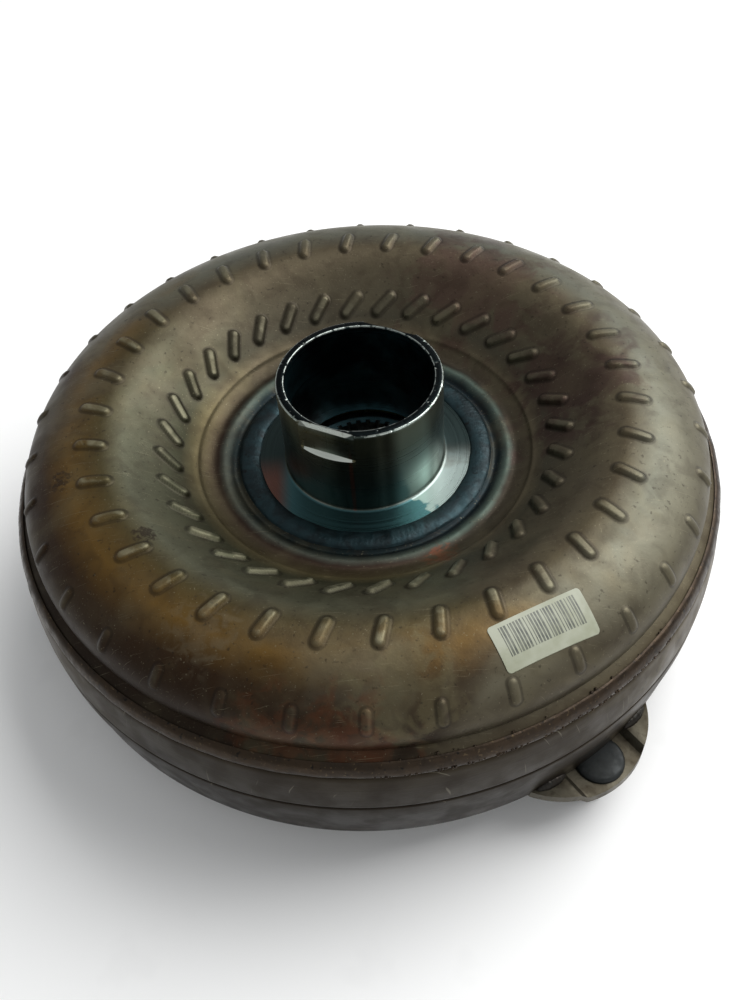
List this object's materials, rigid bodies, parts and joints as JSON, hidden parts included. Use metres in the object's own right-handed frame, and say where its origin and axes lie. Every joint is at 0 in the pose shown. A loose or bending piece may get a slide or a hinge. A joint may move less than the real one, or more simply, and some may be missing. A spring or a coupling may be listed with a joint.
{
  "type": "torque converter",
  "caption": "Welded torque converter: dimpled impeller shell with a flatted pump hub, front cover with pilot and stud lugs, and turbine, stator, one-way clutch and lock-up damper inside.",
  "frame": {"origin": "on the axis, in the plane where the crank pilot's ground diameter begins, 1.5 mm above its end face", "axes": "+Z along the converter's axis, from the engine side towards the gearbox, so the pump hub is at the top"},
  "size_m": [0.2902, 0.2804, 0.115],
  "materials": {
    "tinted_shell_steel": "heat-tinted, oily drawn steel",
    "machined_hub_steel": "turned and ground",
    "weld_bead_steel": "blued weld metal",
    "closing_weld_steel": "brown oxidised weld metal",
    "cover_steel": "grey drawn steel, worn",
    "pilot_steel": "turned",
    "stud_steel": "dark phosphated",
    "label_paper": "matt label",
    "vane_steel": "brazed sheet steel",
    "turbine_steel": "pressed sheet steel",
    "race_steel": "ground bearing steel",
    "cast_stator_alloy": "die cast",
    "cage_alloy": "pressed",
    "spring_steel": "shot peened",
    "washer_resin": "moulded",
    "lining_paper": "wet friction paper",
    "seal_rubber": "moulded"
  },
  "bodies": {
    "housing": {"impeller_shell": "tinted_shell_steel", "impeller_hub": "machined_hub_steel", "hub_weld": "weld_bead_steel", "impeller_vanes": "vane_steel", "impeller_core_ring": "vane_steel", "front_cover": "cover_steel", "closing_weld": "closing_weld_steel", "crank_pilot": "pilot_steel", "pilot_weld": "weld_bead_steel", "mounting_lugs": "cover_steel", "mounting_studs": "stud_steel", "lug_welds": "weld_bead_steel", "balance_weight": "cover_steel", "barcode_label": "label_paper", "rear_bearing_race": "race_steel"},
    "turbine": {"turbine_shell": "turbine_steel", "turbine_vanes": "vane_steel", "turbine_core_ring": "vane_steel", "turbine_hub": "turbine_steel", "turbine_rivets": "turbine_steel", "thrust_washer": "washer_resin"},
    "stator": {"stator_wheel": "cast_stator_alloy", "clutch_outer_race": "race_steel", "clutch_springs": "spring_steel", "stator_rear_cap": "race_steel", "stator_front_cap": "race_steel"},
    "inner_race": {"inner_race": "race_steel"},
    "rear_bearing": {"rear_bearing_cage": "cage_alloy", "rear_bearing_needles": "race_steel"},
    "front_bearing": {"front_bearing_cage": "cage_alloy", "front_bearing_needles": "race_steel"},
    "damper_hub": {"damper_hub": "turbine_steel", "piston_seal_ring": "seal_rubber"},
    "clutch_piston": {"piston_plate": "turbine_steel", "friction_lining": "lining_paper", "spring_retainer": "turbine_steel", "retainer_rivets": "turbine_steel", "damper_springs": "spring_steel"},
    "roller_1": {"roller_1": "race_steel"},
    "roller_2": {"roller_2": "race_steel"},
    "roller_3": {"roller_3": "race_steel"},
    "roller_4": {"roller_4": "race_steel"},
    "roller_5": {"roller_5": "race_steel"},
    "roller_6": {"roller_6": "race_steel"},
    "roller_7": {"roller_7": "race_steel"},
    "roller_8": {"roller_8": "race_steel"}
  },
  "joints": [
    {"name": "turbine_spin", "type": "hinge", "parent": "housing", "child": "turbine", "pos_m": [0, 0, 0.06], "axis": [0, 0, 1], "continuous": true},
    {"name": "stator_spin", "type": "hinge", "parent": "housing", "child": "stator", "pos_m": [0, 0, 0.06], "axis": [0, 0, 1], "continuous": true},
    {"name": "inner_race_spin", "type": "hinge", "parent": "stator", "child": "inner_race", "pos_m": [0, 0, 0.06], "axis": [0, 0, 1], "continuous": true},
    {"name": "rear_bearing_spin", "type": "hinge", "parent": "housing", "child": "rear_bearing", "pos_m": [0, 0, 0.06], "axis": [0, 0, 1], "continuous": true},
    {"name": "front_bearing_spin", "type": "hinge", "parent": "turbine", "child": "front_bearing", "pos_m": [0, 0, 0.06], "axis": [0, 0, 1], "continuous": true},
    {"name": "clutch_release", "type": "slide", "parent": "turbine", "child": "damper_hub", "axis": [0, 0, 1], "range_m": [0, 0.0012]},
    {"name": "damper_turn", "type": "hinge", "parent": "damper_hub", "child": "clutch_piston", "pos_m": [0, 0, 0.06], "axis": [0, 0, 1], "range_deg": [-4, 4]},
    {"name": "roller_1_spin", "type": "hinge", "parent": "stator", "child": "roller_1", "pos_m": [0.03255, 0, 0.054], "axis": [0, 0, 1], "continuous": true},
    {"name": "roller_2_spin", "type": "hinge", "parent": "stator", "child": "roller_2", "pos_m": [0.02302, 0.02302, 0.054], "axis": [0, 0, 1], "continuous": true},
    {"name": "roller_3_spin", "type": "hinge", "parent": "stator", "child": "roller_3", "pos_m": [0, 0.03255, 0.054], "axis": [0, 0, 1], "continuous": true},
    {"name": "roller_4_spin", "type": "hinge", "parent": "stator", "child": "roller_4", "pos_m": [-0.02302, 0.02302, 0.054], "axis": [0, 0, 1], "continuous": true},
    {"name": "roller_5_spin", "type": "hinge", "parent": "stator", "child": "roller_5", "pos_m": [-0.03255, 0, 0.054], "axis": [0, 0, 1], "continuous": true},
    {"name": "roller_6_spin", "type": "hinge", "parent": "stator", "child": "roller_6", "pos_m": [-0.02302, -0.02302, 0.054], "axis": [0, 0, 1], "continuous": true},
    {"name": "roller_7_spin", "type": "hinge", "parent": "stator", "child": "roller_7", "pos_m": [0, -0.03255, 0.054], "axis": [0, 0, 1], "continuous": true},
    {"name": "roller_8_spin", "type": "hinge", "parent": "stator", "child": "roller_8", "pos_m": [0.02302, -0.02302, 0.054], "axis": [0, 0, 1], "continuous": true}
  ],
  "couplings": [
    {"joint": "rear_bearing_spin", "follows": "stator_spin", "ratio": 0.5},
    {"joint": "roller_1_spin", "follows": "inner_race_spin", "ratio": -8.2857},
    {"joint": "roller_2_spin", "follows": "inner_race_spin", "ratio": -8.2857},
    {"joint": "roller_3_spin", "follows": "inner_race_spin", "ratio": -8.2857},
    {"joint": "roller_4_spin", "follows": "inner_race_spin", "ratio": -8.2857},
    {"joint": "roller_5_spin", "follows": "inner_race_spin", "ratio": -8.2857},
    {"joint": "roller_6_spin", "follows": "inner_race_spin", "ratio": -8.2857},
    {"joint": "roller_7_spin", "follows": "inner_race_spin", "ratio": -8.2857},
    {"joint": "roller_8_spin", "follows": "inner_race_spin", "ratio": -8.2857}
  ]
}
